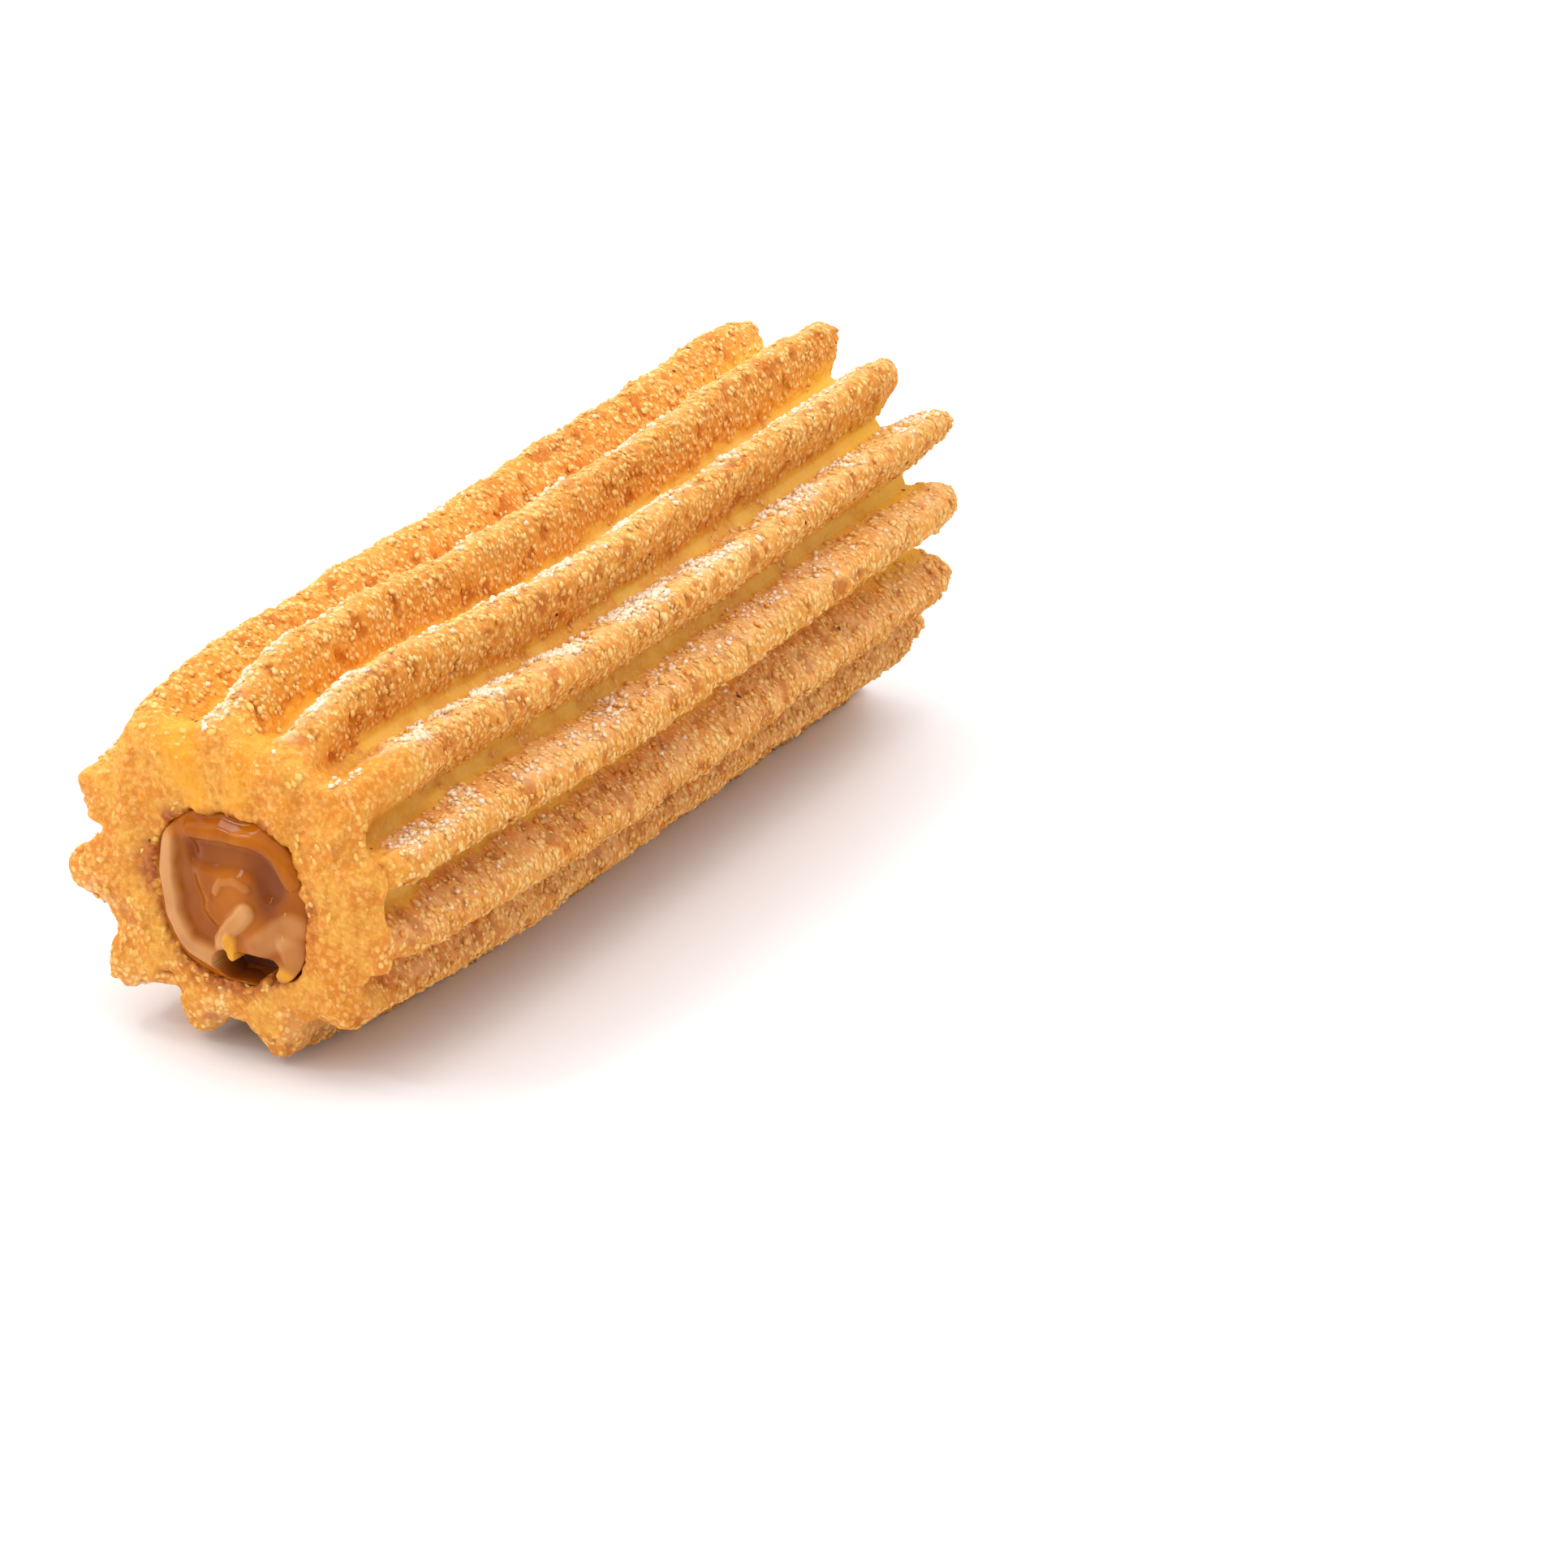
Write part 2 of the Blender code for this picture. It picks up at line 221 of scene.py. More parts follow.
# Seeded noise on the crust: size, octaves and seed
LAYERS = {
    "wander": (8 * MM, 3, 40),
    "patch": (2.6 * MM, 3, 50),
    "fray": (0.9 * MM, 2, 55),
    "lumps": (LUMP_SIZE, 3, 80),
    "pits": ((1.3 * MM, 2.4 * MM, 2.4 * MM), 3, 90),
    "clump": (4.0 * MM, 2, 120),
    "folds": (2.2 * MM, 4, 140),
    "ragged": (1.3 * MM, 3, 150),
}

# One row for each ridge: length of the smooth collar behind the face in mm (less than 0 where the
# crust comes round onto the face), how toasted it is (raised on the lower ridges, partly as painted
# shade), and how much sugar it holds
LOOKS = (
    (1.5, 0.42, 0.12),
    (8.0, 0.42, 1.00),
    (4.5, 0.45, 0.80),
    (3.0, 0.50, 0.65),
    (2.5, 0.48, 0.45),
    (1.0, 0.42, 0.30),
    (-2.5, 0.40, 0.30),
    (-2.5, 0.45, 0.15),
    (-2.5, 0.55, 0.10),
    (-2.0, 0.70, 0.05),
    (2.2, 0.80, 0.05),
    (1.5, 0.55, 0.05),
)
COLLAR, TOAST_AND_SHADE, SUGAR = range(3)

# Grooves and lips in the crust: q, distance from the face, half width in q, half length and height
TEARS = (
    (11.95, 1.8 * MM, 0.45, 0.45 * MM, -0.8 * MM),
    (11.20, 1.8 * MM, 0.35, 0.45 * MM, -0.8 * MM),
    (10.60, 1.9 * MM, 0.25, 0.45 * MM, -0.6 * MM),
    (0.30, 5.5 * MM, 0.06, 3.5 * MM, -0.6 * MM),
    (0.48, 7.5 * MM, 0.13, 4.0 * MM, -0.8 * MM),
    (0.78, 9.0 * MM, 0.16, 4.0 * MM, 0.5 * MM),
    (5.45, 1.4 * MM, 0.10, 1.6 * MM, -0.6 * MM),
    (4.62, 1.6 * MM, 0.12, 1.8 * MM, -0.5 * MM),
    (1.35, 10.0 * MM, 0.15, 1.2 * MM, 0.5 * MM),
    (1.55, 8.0 * MM, 0.12, 1.4 * MM, 0.5 * MM),
)

# Camera, fitted to the photo: the middle of the cut face sits at this pixel and this far away
PICTURE_SIDE = 1932
FOCAL_PIXELS = 7440
SENSOR_WIDTH = 36
CAMERA_AZIMUTH = math.radians(-58.3)
CAMERA_ELEVATION = math.radians(24.4)
FACE_PIXEL = (288, 1106)
FACE_DISTANCE = 0.570
FACE_HEIGHT = 17.0 * MM

# Crust colours; a pair runs from plain to toasted, or from patch to patch; the toasted end also paints
# shade on the lower ridges
GAP = (0.80, 0.33, 0.042), (0.64, 0.20, 0.016)
GRANULE = (0.92, 0.52, 0.120), (0.82, 0.37, 0.060)
PALE = (0.97, 0.69, 0.31), (0.94, 0.58, 0.20)
# painted shade in the pits and the crack
PIT = (0.56, 0.15, 0.010)
FROST = (0.97, 0.80, 0.57)
# pale sugar dusting on the upper flanks, with a painted highlight where light grazes the crests
DUST_AND_HIGHLIGHT = (0.97, 0.74, 0.44)
VALLEY = (0.84, 0.48, 0.070), (0.76, 0.37, 0.036)
VALLEY_SPECK = (0.92, 0.61, 0.21)
VALLEY_BEHIND = (0.80, 0.41, 0.075)
GOLDEN = (0.76, 0.34, 0.042), (0.68, 0.22, 0.013)
GOLDEN_SPECK = (0.88, 0.52, 0.10)
GOLDEN_PALE = (0.90, 0.56, 0.11)
GOLDEN_DARK = (0.62, 0.19, 0.012)
GLOW = (0.86, 0.37, 0.014)
# painted glow of light through the thin crust at the base of the far tips
TIP_GLOW = (0.88, 0.51, 0.050)
BURNT = (0.50, 0.14, 0.020), (0.30, 0.055, 0.010)

# Caramel colours
CARAMEL = (0.36, 0.085, 0.001), (0.48, 0.130, 0.002)
# painted shade in the dent and grooves, and off the far fold
CARAMEL_SHADE = (0.21, 0.042, 0.001)
# pale streaks, mostly painted reflections and highlights
CREAM_AND_REFLECTION = (0.64, 0.31, 0.105)
AMBER = (0.78, 0.34, 0.025)
# painted shade at the bottom of the hollow
HOLLOW_SHADE = (0.135, 0.034, 0.017)

# Scattered kinds: name, count, smallest and largest size in mm, flatness, how far each stands out in
# its own sizes, whether it is round, and its plain and toasted colours; the toasted colour also paints
# shade on the lower ridges and on grains facing down
SCATTERED = (
    ("grains", 13000, (0.22, 0.44), 0.75, 0.04, False, (0.97, 0.66, 0.26), (0.92, 0.50, 0.13)),
    ("toasted_grains", 8000, (0.22, 0.42), 0.75, 0.0, False, (0.93, 0.50, 0.12), (0.80, 0.33, 0.045)),
    ("sugar", 4200, (0.18, 0.50), 0.9, 0.15, False, (0.98, 0.83, 0.64), (0.96, 0.73, 0.48)),
    ("crumbs", 520, (0.22, 0.85), 0.5, -0.05, True, (0.92, 0.58, 0.16), (0.84, 0.42, 0.07)),
    ("specks", 70, (0.18, 0.4), 0.6, 0.05, True, (0.20, 0.07, 0.03), (0.10, 0.03, 0.02)),
)
LUMP_STRETCH = (0.65, 1.25)
LUMP_JITTER = 0.22

# Lights: name, place to the camera's right, ahead of it and up (m), size (m), power (W) and colour
LIGHTS = (
    ("window", (-0.38, 0.14, 0.85), (0.26, 0.26), 1.22, (1.0, 0.985, 0.96)),
    ("side", (-0.60, -0.35, 0.22), (0.06, 0.20), 0.32, (1.0, 0.98, 0.96)),
    ("glint", (-0.59, -0.16, 0.63), (0.14, 0.03), 0.70, (1.0, 0.98, 0.97)),
    ("fill", (0.26, -0.04, 0.95), (0.5, 0.5), 2.2, (1.0, 0.98, 0.96)),
)
AIM = (0, 0, 0.02)
SKY_COLOR = (0.985, 0.985, 1.0, 1)
SKY_BRIGHTEST = (-0.20, 0.35, 0.92)
SKY_DIM_FROM = -0.35
SKY_STRENGTHS = (0.42, 1.60)
FLOOR_HALF = 2.5
FLOOR_COLOR = (0.85, 0.85, 0.86, 1)


def ease(value):
    """Smooth step from 0 to 1."""
    value = np.clip(value, 0, 1)
    return value * value * (3 - 2 * value)


def smooth_table(u, knots):
    """Smooth curve through (u, value) knots."""
    places = np.array([knot[0] for knot in knots], float)
    values = np.array([knot[1] for knot in knots], float)
    slopes = np.gradient(values, places)
    u = np.clip(np.asarray(u, float), 0, 1)
    i = np.clip(np.searchsorted(places, u, side="right") - 1, 0, len(places) - 2)
    step = places[i + 1] - places[i]
    t = (u - places[i]) / step
    start = values[i] * (2 * t**3 - 3 * t**2 + 1) + step * slopes[i] * (t**3 - 2 * t**2 + t)
    return start + values[i + 1] * (3 * t**2 - 2 * t**3) + step * slopes[i + 1] * (t**3 - t**2)


def column(name):
    """One value for each ridge."""
    return np.array([ridge[name] for ridge in RIDGES], float)


def across(values, q):
    """Per-ridge values blended round the section."""
    k = np.floor(q).astype(int)
    share = ease(q - k)
    return values[k % COUNT] * (1 - share) + values[(k + 1) % COUNT] * share


def lines(table, q, u):
    """Seeded values along every ridge, blended along it and round the section."""
    place = np.clip(u, 0, 1) * (table.shape[1] - 1)
    i = np.clip(np.floor(place).astype(int), 0, table.shape[1] - 2)
    along = ease(place - i)
    k = np.floor(q).astype(int)
    share = ease(q - k)
    here = table[k % COUNT, i] * (1 - along) + table[k % COUNT, i + 1] * along
    after = table[(k + 1) % COUNT, i] * (1 - along) + table[(k + 1) % COUNT, i + 1] * along
    return here * (1 - share) + after * share


def seeded_tables():
    """Seeded sway of every ridge and roughness of every crest."""
    random = np.random.RandomState(SEED)
    sway = random.uniform(-1, 1, (COUNT, SWAY_KNOTS))
    rough = random.uniform(-1, 1, (COUNT, CREST_PITCHES))
    return sway, rough


SWAY_TABLE, ROUGH_TABLE = seeded_tables()


def turn_at(name, q):
    """Angle in degrees at q from one angle column, without a jump after the last ridge."""
    angles = np.append(column(name), RIDGES[0][name] + 360.0)
    return np.interp(q % COUNT, np.arange(COUNT + 1), angles) + np.floor(q / COUNT) * 360


def angle_at(q, u):
    """Angle round the section in radians."""
    to_middle = ease(u / FACE_TURN_END)
    to_end = ease((u - FAR_TURN_START) / (1 - FAR_TURN_START))
    body = turn_at(HALFWAY, q) * (1 - to_end) + turn_at(AT_END, q) * to_end
    degrees = turn_at(AT_FACE, q) * (1 - to_middle) + body * to_middle
    return np.radians(degrees + RIDGE_SWAY * lines(SWAY_TABLE, q, u) * to_middle)


def tooth(q):
    """Height share across a ridge: 1 on its crest and 0 in the valley floor."""
    side = np.abs(q - np.round(q)) * 2
    slope = np.clip(side / (1 - VALLEY_SHARE), 0, 1)
    return 1 - ease(slope ** across(column(BREADTH), q))


def crags(q, u, share):
    """Uneven crust: rough crests, calmer valleys, and the torn flakes."""
    height = CREST_ROUGHNESS * lines(ROUGH_TABLE, q, u) * (VALLEY_CALM + (1 - VALLEY_CALM) * share)
    for flake_q, distance, half_width, half_length, tall in FLAKES:
        across_q = (q - flake_q + COUNT / 2) % COUNT - COUNT / 2
        along = (u * CORE_LENGTH - distance) / half_length
        height = height + tall * np.exp(-(across_q / half_width) ** 2 - along ** 2)
    return height


def tip_length(q):
    """How far the far end stands past the valleys."""
    return across(column(TIP), q) * MM * tooth(q) ** TIP_BLUNT


def skin(q, u):
    """Points of the outer skin as (x, y, z), with the middle of the face at y = 0."""
    q, u = np.broadcast_arrays(np.asarray(q, float), np.asarray(u, float))
    angle = angle_at(q, u)
    share = tooth(q)
    distance = u * CORE_LENGTH
    flat = np.cos(angle) / smooth_table(u, SIDE)
    tall = np.sin(angle) / smooth_table(u, TOP)
    full = MM / np.sqrt(flat ** 2 + tall ** 2) - across(column(UNDER), q) * MM
    shoulder = across(column(SHOULDER), q) * MM
    pinch = np.clip(1 - distance / shoulder, 0, 1) ** SHOULDER_POWER
    crest = full - (full - across(column(FACE_RADIUS), q) * MM) * pinch
    face_depth = across(column(FACE_DEPTH), q) * MM
    cut_start = across(column(CUT_START), q) * MM
    cut = (distance - cut_start) / (across(column(CUT_END), q) * MM - cut_start)
    depth = face_depth + (RIDGE_DEPTH - face_depth) * ease(cut)
    inset = FACE_ROUND * (1 - np.sqrt(1 - np.clip(1 - distance / FACE_ROUND, 0, 1) ** 2))
    to_tip = np.clip((u - TIP_ROUND_START) / (1 - TIP_ROUND_START), 0, 1)
    rounding = TIP_ROUND * share * to_tip ** TIP_ROUND_POWER
    rough = crags(q, u, share) * ease(distance / CALM_COLLAR)
    radius = crest - depth * (1 - share) - inset - rounding + rough
    reach = tip_length(q) * np.clip((u - TIP_START) / (1 - TIP_START), 0, 1) ** TIP_REACH_POWER
    x = FACE_X + distance + reach
    y = smooth_table(u, SWAY) * MM - radius * np.cos(angle)
    z = smooth_table(u, RISE) * MM + radius * np.sin(angle)
    return np.stack([x, y, np.maximum(z, 0)], -1)


def bore_radius(angle):
    """Radius of the uneven bore."""
    uneven = BORE_UNEVEN * np.cos(BORE_LOBES * (angle - BORE_TURN))
    return BORE_RADIUS + uneven - BORE_DROP * np.sin(angle)


def bore_ring(angle, x, u, radius):
    """Points round the bore's own middle."""
    y = smooth_table(u, SWAY) * MM - radius * np.cos(angle)
    z = smooth_table(u, BORE_RISE) * MM + radius * np.sin(angle)
    return np.stack([np.broadcast_to(x, y.shape), y, z], -1)


def hashed(ix, iy, iz, seed):
    """Seeded random number from 0 to 1 for each whole-number place."""
    mask = 0xFFFFFFFF
    n = (ix * 374761393 + iy * 668265263 + iz * 1440662683 + seed * 97471) & mask
    n = ((n ^ (n >> 13)) * 1274126177) & mask
    n = ((n ^ (n >> 15)) * 974634777) & mask
    return ((n ^ (n >> 16)) & 0xFFFFFF) / 0xFFFFFF


def noise(points, size, seed):
    """Smooth seeded noise from -1 to 1, with one value for each size along each axis."""
    place = points / np.asarray(size)
    cell = np.floor(place).astype(np.int64)
    part = ease(place - cell)
    total = 0
    for corner in range(8):
        step = np.array([corner & 1, corner >> 1 & 1, corner >> 2 & 1])
        weight = np.prod(np.where(step, part, 1 - part), axis=-1)
        ix, iy, iz = np.moveaxis(cell + step, -1, 0)
        total = total + weight * hashed(ix, iy, iz, seed)
    return total * 2 - 1


def fractal(points, size, octaves, seed):
    """Noise in halving sizes, from -1 to 1."""
    total, weight = 0, 0
    for octave in range(octaves):
        share = 0.5 ** octave
        total = total + share * noise(points, np.asarray(size) * share, seed + octave)
        weight += share
    return total / weight


def granules(points, size, seed):
    """Rounded seeded grains: height from 0 to 1."""
    place = points / np.asarray(size)
    cell = np.floor(place).astype(np.int64)
    best = np.full(place.shape[:-1], 9.0)
    for dx in (-1, 0, 1):
        for dy in (-1, 0, 1):
            for dz in (-1, 0, 1):
                near = cell + np.array([dx, dy, dz])
                ix, iy, iz = np.moveaxis(near, -1, 0)
                offset = np.stack([hashed(ix, iy, iz, seed + k) for k in (1, 2, 3)], -1)
                best = np.minimum(best, np.sum((near + offset - place) ** 2, axis=-1))
    return np.clip(1 - best / GRAIN_FULL, 0, 1) ** GRAIN_ROUND


def unit(vectors):
    """Vectors at length 1."""
    return vectors / np.maximum(np.linalg.norm(vectors, axis=-1, keepdims=True), 1e-12)


def grid_normals(points):
    """Outward normals of a grid that closes round its columns."""
    along = np.gradient(points, axis=0)
    round_ = np.roll(points, -1, axis=1) - np.roll(points, 1, axis=1)
    return unit(np.cross(along, round_))


def dough_grid():
    """Rows of points round the closed crust, their q, the skin's u and the length of each zone."""
    # points are closer together on the crests than in the valleys
    even = np.linspace(-0.5, 0.5, RIDGE_POINTS, endpoint=False)
    local = even - CREST_CROWDING * np.sin(2 * math.pi * even) / math.pi
    q = np.concatenate([k + local for k in range(COUNT)])
    us = np.linspace(0, 1, STATIONS) ** STATION_POWER
    outside = skin(q[None, :], us[:, None])

    at_face = angle_at(q, np.zeros(q.shape))
    at_end = angle_at(q, np.ones(q.shape))
    near_x = FACE_X + FACE_LIP
    end_x = FACE_X + CORE_LENGTH
    face_edge = bore_ring(at_face, near_x, 0.0, bore_radius(at_face))
    end_edge = bore_ring(at_end, end_x - FAR_LIP, 1.0, bore_radius(at_end))

    knots = ((0, -FACE_LIP), *FACE_BULGES, (1, 0))
    front = []
    for share in np.linspace(0, 1, FACE_RINGS + 1)[:-1]:
        ring = face_edge * (1 - share) + outside[0] * share
        ring[:, 0] = FACE_X - np.interp(share, *zip(*knots))
        front.append(ring)
    knots = ((0, 1, 0), *FAR_BULGES, (1, 0, -FAR_LIP))
    places, kept, bulges = zip(*knots)
    back = []
    for share in np.linspace(0, 1, END_RINGS + 1)[1:]:
        ring = outside[-1] * (1 - share) + end_edge * share
        ring[:, 0] = end_x + np.interp(share, places, kept) * tip_length(q) + np.interp(share, places, bulges)
        back.append(ring)
    inside = []
    for u in np.linspace(1, 0, BORE_RINGS + 2)[1:-1]:
        angle = at_face * (1 - u) + at_end * u
        x = near_x * (1 - u) + (end_x - FAR_LIP) * u
        inside.append(bore_ring(angle, x, u, bore_radius(angle)))
    points = np.concatenate([front, outside, back, inside]) + SHIFT
    return points, q, us, (len(front), STATIONS, END_RINGS, BORE_RINGS)


def look_at(name, q):
    """One column of the looks, blended round the section."""
    return across(np.array([row[name] for row in LOOKS], float), q)


def burnt_rim(q, to_bore):
    """Patches of singed dough on the rim of the bore's mouth."""
    degrees = np.degrees(angle_at(q, np.zeros(q.shape)))
    burnt = 0.85 * np.exp(-(to_bore / (1.0 * MM)) ** 2)
    for middle, half, width in BURNS:
        off = (degrees - middle + 180) % 360 - 180
        burnt = np.maximum(burnt, np.exp(-(off / half) ** 2)[None, :] * np.exp(-(to_bore / (width * MM)) ** 2))
    return burnt


def dough_relief(points, q, us, rows):
    """Moves the grid's points by the crust's relief, and returns them with the colour masks."""
    front, stations, end, bore = rows
    total, columns = points.shape[:2]
    u = np.concatenate([np.zeros(front), us, np.ones(end), np.full(bore, 0.5)])[:, None]
    share = np.broadcast_to(tooth(q)[None, :], (total, columns))

    # distance along the surface from the face's outer edge, below 0 on the face
    edge = np.linalg.norm(points[:front] - points[front], axis=-1)
    past = np.concatenate([-edge, np.broadcast_to((us * CORE_LENGTH)[:, None], (stations, columns)),
                           np.full((end + bore, columns), CORE_LENGTH)])
    to_bore = np.concatenate([np.linalg.norm(points[:front] - points[0], axis=-1),
                              np.full((total - front, columns), 20 * MM)])
    far = np.zeros((total, columns))
    far[-end - bore:-bore] = ease(np.linspace(0, 1, end) / 0.3)[:, None]
    hidden = np.zeros((total, columns))
    hidden[-bore:] = 1

    normals = grid_normals(points)
    wander = fractal(points, *LAYERS["wander"]) * 0.5 + 0.5
    patch = fractal(points, *LAYERS["patch"])
    grain = granules(points, (GRAIN_ALONG, GRAIN_ACROSS, GRAIN_ACROSS), GRAIN_SEED)
    lumps = fractal(points, *LAYERS["lumps"])
    pits = ease((fractal(points, *LAYERS["pits"]) - 0.16) / 0.26)

    collar = 1 - ease((past - look_at(COLLAR, q) * MM + 3.0 * patch * MM) / (4.5 * MM) + 0.5)
    fray = fractal(points, *LAYERS["fray"])
    behind = ease((q - BACK_FROM) / 0.8) * ease((BACK_TO - q) / 0.8)
    body = ease((share + 0.02 + 0.24 * behind + 0.16 * patch + 0.16 * fray) / 0.24) * (1 - 0.7 * far)
    rough = (body * (1 - collar) + (0.38 + 0.40 * patch) * collar) * (1 - hidden)
    grit = CALM_RELIEF + (1 - CALM_RELIEF) * rough
    height = GRAIN_HEIGHT * (grain - 0.4) * grit
    height = height + LUMP_HEIGHT * lumps * (0.4 + 0.6 * rough) - PIT_DEPTH * pits * rough
    for tear_q, distance, half_width, half_length, tall in TEARS:
        off = (q - tear_q + COUNT / 2) % COUNT - COUNT / 2
        height = height + tall * np.exp(-(off / half_width) ** 2 - ((past - distance) / half_length) ** 2)
    crack = np.exp(-((past - (CRACK_PLACE + 1.6 * patch * MM)) / CRACK_WIDTH) ** 2)
    crack = crack * ease((q - CRACK_FROM) / 0.3) * ease((CRACK_TO - q) / 0.3) * ease(0.8 + 2 * patch)
    height = height - CRACK_DEPTH * crack
    on_face = ease(1 - (past - 1.0 * MM) / (2 * MM)) * (1 - far) * (1 - hidden)
    lip = np.exp(-((to_bore - 0.9 * MM) / (0.7 * MM)) ** 2)
    folds = FOLD_HEIGHT * fractal(points, *LAYERS["folds"])
    height = height + on_face * (folds + LIP_HEIGHT * lip * (0.6 + patch))
    height = height * (1 - hidden) * ease((to_bore + 0.55 * MM) / MM) - 0.08 * MM
    ragged = RIM_RAGGED * fractal(points, *LAYERS["ragged"])
    height = height + ragged * np.exp(-(to_bore / (0.7 * MM)) ** 2)
    points = points + normals * height[..., None]
    points[..., 2] = np.maximum(points[..., 2], 0)

    off = q - np.round(q)
    clump = ease((fractal(points, *LAYERS["clump"]) + 0.08) / 0.3)
    frost = np.exp(-((off - 0.24) / 0.15) ** 2) * look_at(SUGAR, q) * clump * (1.15 - u) * (1 - hidden)
    frost = np.clip(frost * rough * ease(past / (4 * MM)), 0, 1)
    masks = {
        "share": share,
        "rough": rough,
        # pits and the crack get painted shade
        "pits": np.maximum(pits * rough, 0.7 * crack),
        "face": np.maximum(np.maximum(ease(1 - (past - 2 * MM) / (3 * MM)), collar), far) * (1 - hidden),
        "rim": burnt_rim(q, to_bore),
        "behind": behind * (1 - hidden),
        "glow": np.exp(-((q - GLOW_RIDGE) / GLOW_WIDTH) ** 2) * ease(1.5 - past / GLOW_LENGTH) * (1 - share),
        # sugar dusting and painted highlight on the upper flanks, which face the light
        "dust": np.exp(-((off - 0.26) / 0.20) ** 2) * (0.6 + 0.8 * patch) * rough * (1 - collar)
        * np.clip(0.35 + look_at(SUGAR, q), 0, 1),
        "frost": frost,
        "tip": ease((u - 0.82) / 0.18) * np.ones((total, columns)),
        # toasting, raised on the lower ridges as painted shade
        "toast": np.clip(look_at(TOAST_AND_SHADE, q) + 0.9 * (wander - 0.5), 0, 1) * np.ones((total, columns)),
        "patch": patch * 0.5 + 0.5,
    }
    return points, masks


def grid_mesh(name, points, masks, closed):
    """Mesh object from a grid that closes round its columns, and along its rows too if closed."""
    rows, columns = points.shape[:2]
    index = np.arange(rows * columns).reshape(rows, columns)
    beside = np.roll(index, -1, axis=1)
    last = rows if closed else rows - 1
    after = np.roll(index, -1, axis=0)
    after_beside = np.roll(after, -1, axis=1)
    quads = np.stack([index[:last], after[:last], after_beside[:last], beside[:last]], -1).reshape(-1, 4)
    caps = [] if closed else [index[0], index[-1, ::-1]]
    corners = np.concatenate([quads.reshape(-1), *caps])
    starts = np.concatenate([np.arange(0, quads.size, 4), [quads.size + columns * k for k in range(len(caps))]])
    data = bpy.data.meshes.new(name)
    data.vertices.add(rows * columns)
    data.vertices.foreach_set("co", points.reshape(-1).astype(np.float32))
    data.loops.add(len(corners))
    data.loops.foreach_set("vertex_index", corners.astype(np.int32))
    data.polygons.add(len(starts))
    data.polygons.foreach_set("loop_start", starts.astype(np.int32))
    data.update(calc_edges=True)
    data.polygons.foreach_set("use_smooth", np.ones(len(starts), bool))
    for key, values in masks.items():
        layer = data.attributes.new(key, "FLOAT", "POINT")
        layer.data.foreach_set("value", values.reshape(-1).astype(np.float32))
    data.validate()
    piece = bpy.data.objects.new(name, data)
    bpy.context.scene.collection.objects.link(piece)
    return piece


def dress(piece, material, node=None):
    """Gives a piece its material and its place in the frame."""
    piece.data.materials.append(material)
    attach(piece, "root")
    if node:
        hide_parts(node)


class Nodes:
    """Small helper that builds a material's node tree."""

    def __init__(self, name):
        self.material = bpy.data.materials.new(name)
        self.material.use_nodes = True
        self.tree = self.material.node_tree
        self.shader = self.tree.nodes["Principled BSDF"]

    def put(self, kind, inputs=None, **settings):
        node = self.tree.nodes.new(kind)
        for key, value in settings.items():
            setattr(node, key, value)
        for key, value in (inputs or {}).items():
            self.link(value, node.inputs[key])
        return node

    def link(self, value, socket):
        if isinstance(value, bpy.types.NodeSocket):
            self.tree.links.new(value, socket)
        elif hasattr(socket.default_value, "__len__") and not hasattr(value, "__len__"):
            socket.default_value = (value,) * len(socket.default_value)
        elif hasattr(socket.default_value, "__len__") and len(value) == 3 and len(socket.default_value) == 4:
            socket.default_value = (*value, 1)
        else:
            socket.default_value = value

    def mask(self, name):
        return self.put("ShaderNodeAttribute", attribute_name=name).outputs["Fac"]

    def math(self, operation, a, b=0.0, clamp=False):
        return self.put("ShaderNodeMath", {0: a, 1: b}, operation=operation, use_clamp=clamp).outputs[0]

    def ramp(self, value, low, high, to_low=0.0, to_high=1.0):
        inputs = {"Value": value, "From Min": low, "From Max": high, "To Min": to_low, "To Max": to_high}
        return self.put("ShaderNodeMapRange", inputs, interpolation_type="SMOOTHSTEP").outputs["Result"]

    def mix(self, share, a, b):
        node = self.put("ShaderNodeMix", data_type="RGBA")
        self.link(share, node.inputs[0])
        self.link(a, node.inputs[6])
        self.link(b, node.inputs[7])
        return node.outputs[2]

    def noise(self, size, detail=3.0, stretch=None, distortion=0.0):
        place = self.put("ShaderNodeTexCoord").outputs["Object"]
        if stretch:
            place = self.put("ShaderNodeMapping", {"Vector": place, "Scale": stretch}).outputs[0]
        inputs = {"Vector": place, "Scale": 1 / size, "Detail": detail, "Distortion": distortion}
        return self.put("ShaderNodeTexNoise", inputs).outputs["Fac"]

    def bump(self, height, distance, strength=1.0, normal=None):
        inputs = {"Height": height, "Distance": distance, "Strength": strength}
        if normal is not None:
            inputs["Normal"] = normal
        return self.put("ShaderNodeBump", inputs).outputs["Normal"]


